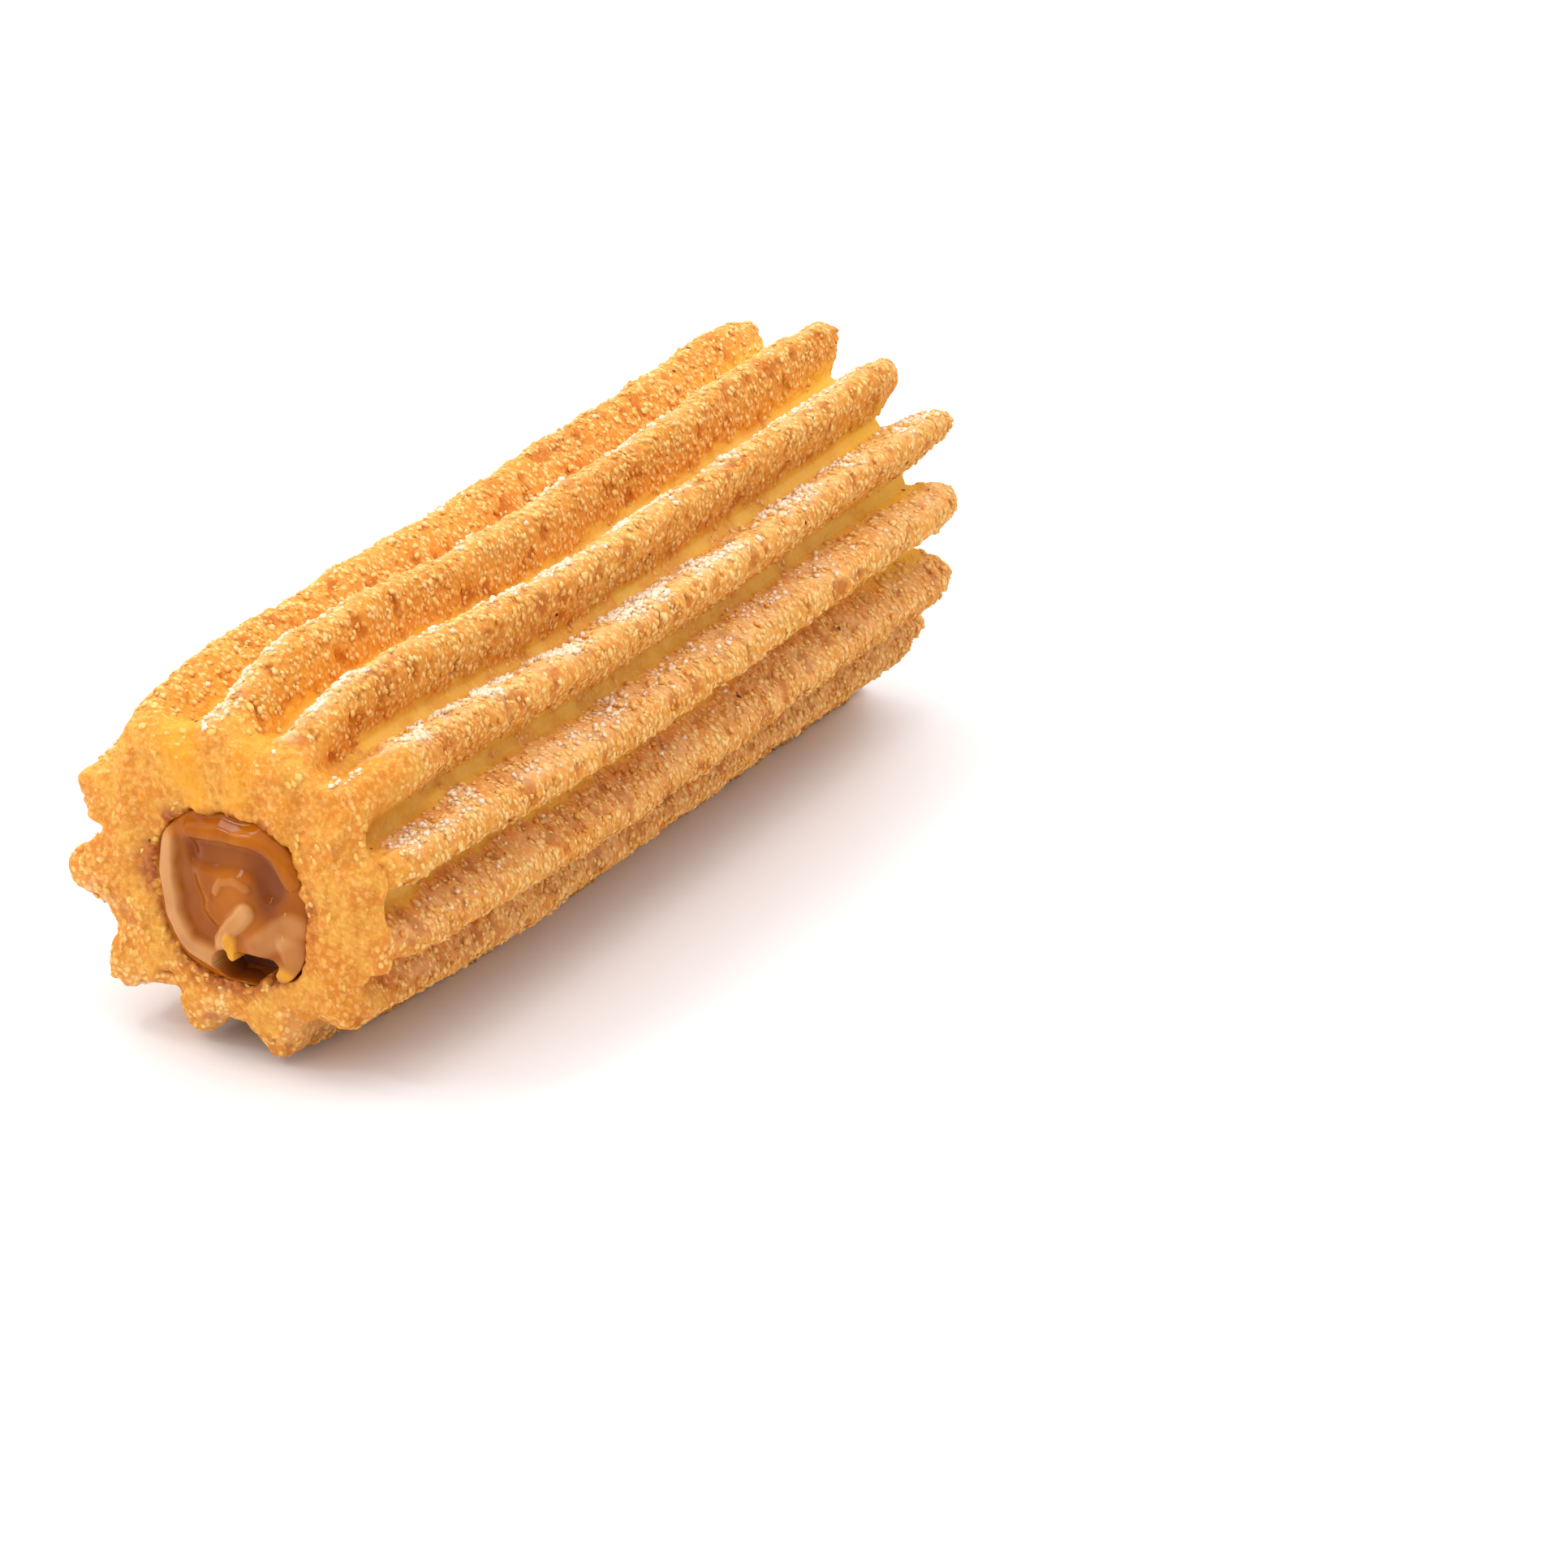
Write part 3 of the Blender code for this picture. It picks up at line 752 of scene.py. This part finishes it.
def crust_material():
    """Fried crust: pale granules over orange pits, smooth yellow valleys, golden cut face; with painted
    shade between granules, in pits and on the lower ridges, painted highlights on granule tops and
    upper flanks, and painted glow in a front valley and at the far tips.
    """
    n = Nodes("fried_crust")
    rough, toast, pits, patch = n.mask("rough"), n.mask("toast"), n.mask("pits"), n.mask("patch")
    place = n.put("ShaderNodeTexCoord").outputs["Object"]
    place = n.put("ShaderNodeMapping", {"Vector": place, "Scale": (1.35, 0.8, 0.8)}).outputs[0]
    cells = n.put("ShaderNodeTexVoronoi", {"Vector": place, "Scale": 1 / (0.62 * MM)})
    cell_tint = n.put("ShaderNodeSeparateColor", {"Color": cells.outputs["Color"]}).outputs[0]
    speckle = n.noise(0.34 * MM, 2.0, stretch=(1.3, 0.8, 0.8))
    top = n.ramp(cells.outputs["Distance"], 0.62, 0.12)

    gap = n.mix(toast, *GAP)
    body = n.mix(toast, *GRANULE)
    pale = n.mix(toast, *PALE)
    # darker between the granules: painted shade
    crumb = n.mix(n.ramp(top, 0.0, 0.6), gap, body)
    # paler tops on some granules: pale grains, partly a painted highlight
    glint = n.math("MULTIPLY", n.ramp(cell_tint, 0.35, 0.85), n.ramp(top, 0.3, 0.9))
    crumb = n.mix(glint, crumb, pale)
    crumb = n.mix(n.ramp(speckle, 0.52, 0.70, 0.0, 0.5), crumb, pale)
    crumb = n.mix(n.ramp(cell_tint, 0.22, 0.08, 0.0, 0.6), crumb, gap)
    # painted shade in the pits and the crack
    crumb = n.mix(n.math("MULTIPLY", pits, 0.8), crumb, PIT)
    crumb = n.mix(n.math("MULTIPLY", n.mask("frost"), 0.60), crumb, FROST)
    # pale sugar dusting and painted highlight on the upper flanks
    crumb = n.mix(n.math("MULTIPLY", n.mask("dust"), 0.55), crumb, DUST_AND_HIGHLIGHT)

    valley = n.mix(n.ramp(patch, 0.35, 0.65), *VALLEY)
    valley = n.mix(n.ramp(speckle, 0.50, 0.72, 0.0, 0.4), valley, VALLEY_SPECK)
    golden = n.mix(n.ramp(patch, 0.36, 0.64), *GOLDEN)
    golden = n.mix(n.ramp(speckle, 0.46, 0.66, 0.0, 0.5), golden, GOLDEN_SPECK)
    mottle = n.noise(0.9 * MM, 4.0)
    golden = n.mix(n.ramp(mottle, 0.55, 0.70, 0.0, 0.5), golden, GOLDEN_PALE)
    golden = n.mix(n.ramp(mottle, 0.46, 0.36, 0.0, 0.6), golden, GOLDEN_DARK)
    valley = n.mix(n.ramp(n.mask("behind"), 0.0, 1.0, 0.0, 0.8), valley, VALLEY_BEHIND)
    valley = n.mix(n.mask("face"), valley, golden)
    color = n.mix(n.ramp(rough, 0.1, 0.9), valley, crumb)
    # painted glow of light in the valley near the face
    color = n.mix(n.math("MULTIPLY", n.mask("glow"), 0.75), color, GLOW)
    # painted glow: light through the thin crust at the far tips, away from the crests and the face
    bright = n.math("MULTIPLY", n.mask("tip"), n.ramp(n.mask("share"), 0.6, 0.1))
    bright = n.math("MULTIPLY", bright, n.ramp(n.mask("face"), 0.6, 0.0, 0.1, 0.9))
    color = n.mix(bright, color, TIP_GLOW)
    ragged = n.ramp(n.noise(1.2 * MM, 4.0), 0.36, 0.50)
    singe = n.math("MULTIPLY", n.ramp(n.mask("rim"), 0.1, 0.7), ragged)
    burnt = n.mix(n.ramp(n.noise(0.7 * MM, 3.0), 0.40, 0.62), *BURNT)
    color = n.mix(n.math("MULTIPLY", singe, 0.95), color, burnt)
    n.link(color, n.shader.inputs["Base Color"])

    n.link(n.ramp(rough, 0.0, 1.0, 0.50, 0.68), n.shader.inputs["Roughness"])
    n.shader.inputs["Specular IOR Level"].default_value = 0.25
    n.shader.inputs["Subsurface Weight"].default_value = 0.45
    n.shader.inputs["Subsurface Radius"].default_value = (1.0, 0.45, 0.12)
    n.shader.inputs["Subsurface Scale"].default_value = 0.9 * MM
    smooth = n.math("MULTIPLY", n.mask("face"), 0.8)
    crusty = n.math("SUBTRACT", n.ramp(rough, 0.0, 0.8, 0.15, 1.0), smooth, True)
    normal = n.bump(n.math("MULTIPLY", top, crusty), 0.13 * MM, 0.8)
    normal = n.bump(mottle, n.math("MULTIPLY", n.mask("face"), 0.17 * MM), 0.8, normal)
    normal = n.bump(speckle, 0.08 * MM, 0.9, normal)
    n.link(normal, n.shader.inputs["Normal"])
    return n.material


def grain_material(name, pale, toasted):
    """Loose grains, paler or more toasted like the crust under them, with painted shade on the lower
    ridges and where they face down.
    """
    n = Nodes(name)
    patchy = n.noise(0.8 * MM, 2.0)
    tone = n.math("ADD", n.mask("tone"), n.ramp(patchy, 0.3, 0.7, -0.35, 0.35), True)
    n.link(n.mix(tone, pale, toasted), n.shader.inputs["Base Color"])
    n.shader.inputs["Roughness"].default_value = 0.5
    n.shader.inputs["Specular IOR Level"].default_value = 0.3
    n.link(n.bump(n.noise(0.2 * MM), 0.05 * MM, 0.5), n.shader.inputs["Normal"])
    return n.material


def caramel_material():
    """Glossy caramel with creamy streaks, painted reflections and highlights, and painted shade in its
    dents, grooves and hollow.
    """
    n = Nodes("caramel")
    swirl = n.noise(4 * MM, 2.0, stretch=(1.0, 1.0, 0.5), distortion=1.0)
    color = n.mix(n.ramp(swirl, 0.35, 0.7), *CARAMEL)
    # painted shade in the dent and grooves
    color = n.mix(n.mask("deep"), color, CARAMEL_SHADE)
    # creamy streaks and painted reflections and highlights
    color = n.mix(n.mask("cream"), color, CREAM_AND_REFLECTION)
    color = n.mix(n.mask("amber"), color, AMBER)
    # painted shade in the hollow
    color = n.mix(n.mask("hollow"), color, HOLLOW_SHADE)
    n.link(color, n.shader.inputs["Base Color"])
    n.shader.inputs["Roughness"].default_value = 0.05
    n.shader.inputs["Specular IOR Level"].default_value = 0.18
    n.shader.inputs["Subsurface Weight"].default_value = 0.05
    n.shader.inputs["Subsurface Radius"].default_value = (1.0, 0.35, 0.05)
    n.shader.inputs["Subsurface Scale"].default_value = 1.2 * MM
    return n.material


def make_crust():
    """The dough's outside, cut face and far end, as one closed mesh."""
    points, q, us, rows = dough_grid()
    points, masks = dough_relief(points, q, us, rows)
    piece = grid_mesh("crust", points, masks, True)
    dress(piece, crust_material(), "dough")
    return points, masks, rows


def bump_at(h, v, where, size, turn=0.0):
    """Oval bump in the face's plane, 1 at its middle: h to the viewer's right and v up, in bore radii."""
    c, s = math.cos(turn), math.sin(turn)
    dh, dv = h - where[0], v - where[1]
    return np.exp(-((dh * c + dv * s) / size[0]) ** 2 - ((dv * c - dh * s) / size[1]) ** 2)


def stroke(h, v, path, width):
    """Soft-edged brush stroke along a path in the face's plane: 1 on the path, 0 beyond its width."""
    nearest = np.full(np.shape(h), 9.0)
    for (h0, v0), (h1, v1) in zip(path, path[1:]):
        length = (h1 - h0) ** 2 + (v1 - v0) ** 2
        t = np.clip(((h - h0) * (h1 - h0) + (v - v0) * (v1 - v0)) / length, 0, 1)
        nearest = np.minimum(nearest, np.hypot(h - h0 - t * (h1 - h0), v - v0 - t * (v1 - v0)))
    return ease(1.5 - 1.5 * nearest / width)


def ripple(h, v, size, seed):
    """Seeded noise over the face's plane, from -1 to 1."""
    return fractal(np.stack([h, v, h * 0], -1), size, 2, seed)


def far_fold():
    """Path of the fold in the far end of the caramel: most of a turn, drawn in."""
    turns = [FAR_STEP * k + FAR_FIRST for k in range(FAR_POINTS)]
    wide = [FAR_RADII[0] - FAR_SHRINK[0] * k for k in range(FAR_POINTS)]
    tall = [FAR_RADII[1] - FAR_SHRINK[1] * k for k in range(FAR_POINTS)]
    return [(w * math.cos(turn), t * math.sin(turn)) for w, t, turn in zip(wide, tall, turns)]


def caramel_front(h, v, share):
    """How far the caramel stands out of the bore's mouth, and its masks."""
    wavy = ripple(h, v, 0.5, 30)
    h = h + 0.06 * wavy
    height = DOME_HEIGHT * np.clip(1 - share ** 4, 0, 1) ** 0.6
    band, inner, brow, trough, arc, leaf, beak, shelf, lobe, hollow = (
        stroke(h, v, *path_and_width) for path_and_width in STROKES.values())
    dent = bump_at(h, v, (0.56, 0.16), (0.20, 0.36), 0.15)
    beads = bump_at(h, v, (-0.40, -0.43), (0.06, 0.06)) + bump_at(h, v, (-0.22, 0.0), (0.05, 0.05))
    hollow = ease((hollow ** 0.6 * (1 - 0.9 * beak) * (1 - 0.8 * lobe) - 0.25) / 0.3)
    parts = ((band, 0.7), (inner, -0.5), (brow, 0.9), (trough, -0.5), (arc, 0.35), (leaf, 0.8),
             (beak, 0.5), (dent, -0.7), (shelf, 0.45), (lobe, 0.5), (beads, 0.25))
    for bump, tall in parts:
        height = height + bump * tall * MM
    height = (height + 0.15 * wavy * (1 - share ** 6) * MM) * (1 - hollow) - HOLLOW_DEPTH * hollow
    keep = 1 - hollow
    # painted reflections and highlights on the band, arc and shelf; pale streaks on the leaf and lobe
    cream = 0.8 * band ** 1.6 + 0.9 * ease(leaf * 1.4) + 0.5 * shelf + 0.5 * ease(arc * 1.4) + 0.4 * lobe
    cream = np.clip(cream - 0.3 * ease(ripple(h, v, 0.3, 33) + 0.4), 0, 1) * keep
    orange = bump_at(h, v, (0.64, -0.68), (0.09, 0.08))
    amber = np.clip(1.3 * beak + 1.2 * orange - 0.4 * leaf, 0, 1) * keep
    # painted shade in the dent and the grooves
    deep = np.clip(1.1 * dent + 0.6 * trough + 0.5 * inner, 0, 1) * keep
    return height, cream, amber, deep, hollow


def make_filling():
    """Caramel through the bore, with the detailed bulge at the cut end."""
    angle = np.linspace(0, 2 * math.pi, FILL_SIDES, endpoint=False)
    edge = bore_radius(angle) - FILL_GAP
    spread = edge + FILL_GAP + FRONT_SPREAD
    rings, masks = [], []
    for share in np.linspace(FIRST_SHARE, 1, FRONT_RINGS) ** RING_POWER:
        h, v = share * np.cos(angle), share * np.sin(angle)
        height, *marks = caramel_front(h, v, np.full(FILL_SIDES, share))
        reach = edge * share + (spread - edge) * share ** 4
        rings.append(bore_ring(angle, FACE_X + FRONT_INSET - FRONT_REACH * height, 0.0, reach))
        masks.append(marks)
    for u in np.linspace(0.03, 0.97, BORE_STEPS):
        rings.append(bore_ring(angle, FACE_X + CORE_LENGTH * u, u, edge))
    path = far_fold()
    for share in np.linspace(FIRST_SHARE, 1, FAR_RINGS)[::-1] ** RING_POWER:
        h, v = share * np.cos(angle), share * np.sin(angle)
        wavy = ripple(h, v, 0.5, 34)
        fold = stroke(h + 0.10 * wavy, v - 0.08 * wavy, path, FAR_FOLD_WIDTH) * (0.75 + 0.25 * wavy)
        height = FAR_DOME_HEIGHT * np.sqrt(1 - share ** 2.6) + FAR_FOLD_HEIGHT * fold * (1 - share)
        rings.append(bore_ring(angle, FACE_X + CORE_LENGTH - FILL_FACE + height, 1.0, edge * share))
        # far end: paler on the fold, painted shade off it
        masks.append((0.22 * fold, 0 * h, 0.25 * (1 - fold), 0 * h))
    points = np.stack(rings) + SHIFT
    # the masks are 0 along the bore, between the two ends
    marked = np.array(masks).transpose(1, 0, 2)
    shown = np.insert(marked, [FRONT_RINGS] * BORE_STEPS, 0, axis=1)
    marks = dict(zip(("cream", "amber", "deep", "hollow"), shown[:, ::-1]))
    piece = grid_mesh("caramel", points[::-1], marks, False)
    dress(piece, caramel_material(), "filling")
    return piece


def scatter(name, random, places, normals, beside, tones, sizes, flatness, sink, shape):
    """One joined mesh of small uneven lumps: every lump is the shape, turned, scaled and jittered."""
    corners, faces = shape
    count = len(places)
    turn = unit(random.normal(size=(count, 4)))
    w, x, y, z = turn.T
    rotation = np.stack([
        1 - 2 * (y * y + z * z), 2 * (x * y - z * w), 2 * (x * z + y * w),
        2 * (x * y + z * w), 1 - 2 * (x * x + z * z), 2 * (y * z - x * w),
        2 * (x * z - y * w), 2 * (y * z + x * w), 1 - 2 * (x * x + y * y),
    ], -1).reshape(count, 3, 3)
    stretch = random.uniform(*LUMP_STRETCH, (count, 1, 3))
    jitter = random.uniform(-LUMP_JITTER, LUMP_JITTER, (count, len(corners), 3))
    lumps = (corners[None] + jitter) * stretch * 0.5 * sizes[:, None, None]
    lumps = np.einsum("nij,nkj->nki", rotation, lumps)
    sideways = np.einsum("nkj,nj->nk", lumps, beside)
    lumps = lumps + beside[:, None, :] * (sideways * GRAIN_STRETCH * (name != "sugar"))[..., None]
    up = np.einsum("nkj,nj->nk", lumps, normals)
    lumps = lumps - normals[:, None, :] * (up * (1 - flatness))[..., None]
    lumps = lumps + (places + normals * (sizes * sink)[:, None])[:, None, :]
    lumps[..., 2] = np.maximum(lumps[..., 2], 0)
    data = bpy.data.meshes.new(name)
    triangles = (faces[None] + (np.arange(count) * len(corners))[:, None, None]).reshape(-1, 3)
    data.vertices.add(count * len(corners))
    data.vertices.foreach_set("co", lumps.reshape(-1).astype(np.float32))
    data.loops.add(triangles.size)
    data.loops.foreach_set("vertex_index", triangles.reshape(-1).astype(np.int32))
    data.polygons.add(len(triangles))
    data.polygons.foreach_set("loop_start", np.arange(0, triangles.size, 3, dtype=np.int32))
    data.update(calc_edges=True)
    layer = data.attributes.new("tone", "FLOAT", "POINT")
    layer.data.foreach_set("value", np.repeat(tones, len(corners)).astype(np.float32))
    data.validate()
    piece = bpy.data.objects.new(name, data)
    bpy.context.scene.collection.objects.link(piece)
    return piece


def cube_shape():
    """A cube's corners and triangles."""
    corners = np.array([(x, y, z) for x in (-1, 1) for y in (-1, 1) for z in (-1, 1)], float)
    quads = ((0, 1, 3, 2), (4, 6, 7, 5), (0, 4, 5, 1), (2, 3, 7, 6), (0, 2, 6, 4), (1, 5, 7, 3))
    faces = [tri for a, b, c, d in quads for tri in ((a, b, c), (a, c, d))]
    return corners, np.array(faces)


def round_shape():
    """An icosahedron's corners and triangles, for crumbs."""
    g = (1 + 5 ** 0.5) / 2
    corners = np.array([
        (-1, g, 0), (1, g, 0), (-1, -g, 0), (1, -g, 0), (0, -1, g), (0, 1, g),
        (0, -1, -g), (0, 1, -g), (g, 0, -1), (g, 0, 1), (-g, 0, -1), (-g, 0, 1),
    ], float) / 1.9
    faces = np.array([
        (0, 11, 5), (0, 5, 1), (0, 1, 7), (0, 7, 10), (0, 10, 11), (1, 5, 9), (5, 11, 4),
        (11, 10, 2), (10, 7, 6), (7, 1, 8), (3, 9, 4), (3, 4, 2), (3, 2, 6), (3, 6, 8),
        (3, 8, 9), (4, 9, 5), (2, 4, 11), (6, 2, 10), (8, 6, 7), (9, 8, 1),
    ])
    return corners, faces


def make_scatter(points, masks, rows):
    """Crust grains, sugar on the upper flanks, crumbs on the cut end and a few dark specks."""
    normals = grid_normals(points)
    along = np.gradient(points, axis=0)
    beside = (np.roll(points, -1, axis=1) - np.roll(points, 1, axis=1)) / 2
    area = np.linalg.norm(np.cross(along, beside), axis=-1)
    area[-rows[3]:] = 0
    area[:2] = 0
    clump = ease((fractal(points, *LAYERS["clump"]) + 0.05) / 0.3)
    left = np.clip(0.75 * normals[..., 2] + 0.5 * normals[..., 1] - 0.1 * normals[..., 0], 0, 1)
    # grains on faces turned down are darker: painted shade
    lower = np.clip(0.35 - normals[..., 2], 0, 1)
    toast = np.clip(masks["toast"] + 0.4 * lower, 0, 1)
    random = np.random.RandomState(SEED + 1)
    crusty = masks["rough"] ** 2 * (1 - 0.97 * masks["face"])
    weights = {
        "grains": crusty,
        "toasted_grains": crusty * toast,
        "sugar": masks["frost"] * left ** 2 + 0.003 * masks["rough"] * left ** 2,
        "crumbs": (masks["face"] + 0.04) * (0.03 + clump ** 2),
        "specks": (0.2 + masks["rough"]) * (0.3 + left),
    }
    for name, count, (small, large), flatness, sink, is_round, *colors in SCATTERED:
        weight = (weights[name] * area).reshape(-1)
        chosen = random.choice(weight.size, count, p=weight / weight.sum())
        sizes = (small + (large - small) * random.uniform(0, 1, count) ** 1.5) * MM
        piece = scatter(name, random, points.reshape(-1, 3)[chosen], normals.reshape(-1, 3)[chosen],
                        unit(beside.reshape(-1, 3)[chosen]), toast.reshape(-1)[chosen], sizes,
                        flatness, sink, round_shape() if is_round else cube_shape())
        dress(piece, grain_material(name + "_look", *colors))


def camera_axes():
    """Right, up and forward of the camera."""
    a, e = CAMERA_AZIMUTH, CAMERA_ELEVATION
    forward = Vector((-math.sin(a) * math.cos(e), math.cos(a) * math.cos(e), -math.sin(e)))
    right = Vector((math.cos(a), math.sin(a), 0))
    return right, right.cross(forward), forward


def make_camera():
    """Camera of the photo, with the middle of the cut face at its pixel."""
    right, up, forward = camera_axes()
    face = Vector((FACE_X + SHIFT[0], SHIFT[1], FACE_HEIGHT))
    per_pixel = FACE_DISTANCE / FOCAL_PIXELS
    place = face - forward * FACE_DISTANCE
    place -= right * (FACE_PIXEL[0] - PICTURE_SIDE / 2) * per_pixel
    place += up * (FACE_PIXEL[1] - PICTURE_SIDE / 2) * per_pixel
    data = bpy.data.cameras.new("camera")
    data.sensor_width = SENSOR_WIDTH
    data.lens = SENSOR_WIDTH * FOCAL_PIXELS / PICTURE_SIDE
    data.clip_start = 0.01
    camera = bpy.data.objects.new("camera", data)
    bpy.context.scene.collection.objects.link(camera)
    turn = Matrix((right, up, -forward)).transposed().to_4x4()
    camera.matrix_world = Matrix.Translation(place) @ turn
    bpy.context.scene.camera = camera


def make_light(name, place, size, power, color):
    """Soft square light that looks at the churro."""
    data = bpy.data.lights.new(name, "AREA")
    data.shape = "RECTANGLE"
    data.size, data.size_y = size
    data.energy = power
    data.color = color
    light = bpy.data.objects.new(name, data)
    light.location = place
    light.rotation_euler = (Vector(AIM) - place).to_track_quat("-Z", "Y").to_euler()
    bpy.context.scene.collection.objects.link(light)


def make_studio():
    """Pale floor, soft lights and pale surroundings."""
    right, up, forward = camera_axes()
    ahead = Vector((forward.x, forward.y, 0)).normalized()
    above = Vector((0, 0, 1))
    def toward(place):
        return right * place[0] + ahead * place[1] + above * place[2]

    for name, place, size, power, color in LIGHTS:
        make_light(name, toward(place), size, power, color)
    world = bpy.data.worlds.new("studio")
    world.use_nodes = True
    tree = world.node_tree
    back = tree.nodes["Background"]
    back.inputs["Color"].default_value = SKY_COLOR
    # brightest overhead and behind the churro, dim at the sides
    turned = tree.nodes.new("ShaderNodeVectorMath")
    turned.operation = "DOT_PRODUCT"
    turned.inputs[1].default_value = toward(SKY_BRIGHTEST)
    tree.links.new(tree.nodes.new("ShaderNodeTexCoord").outputs["Generated"], turned.inputs[0])
    strength = tree.nodes.new("ShaderNodeMapRange")
    strength.inputs["From Min"].default_value = SKY_DIM_FROM
    strength.inputs["To Min"].default_value, strength.inputs["To Max"].default_value = SKY_STRENGTHS
    tree.links.new(turned.outputs["Value"], strength.inputs["Value"])
    tree.links.new(strength.outputs["Result"], back.inputs["Strength"])
    bpy.context.scene.world = world
    bpy.context.scene.view_settings.view_transform = "Standard"

    data = bpy.data.meshes.new("floor")
    corners = [(x * FLOOR_HALF, y * FLOOR_HALF, 0) for x, y in ((-1, -1), (1, -1), (1, 1), (-1, 1))]
    data.from_pydata(corners, [], [(0, 1, 2, 3)])
    floor = bpy.data.objects.new("floor", data)
    bpy.context.scene.collection.objects.link(floor)
    n = Nodes("pale_floor")
    n.shader.inputs["Base Color"].default_value = FLOOR_COLOR
    n.shader.inputs["Roughness"].default_value = 0.5
    data.materials.append(n.material)


make_camera()
crust = make_crust()
make_filling()
make_scatter(*crust)
make_studio()
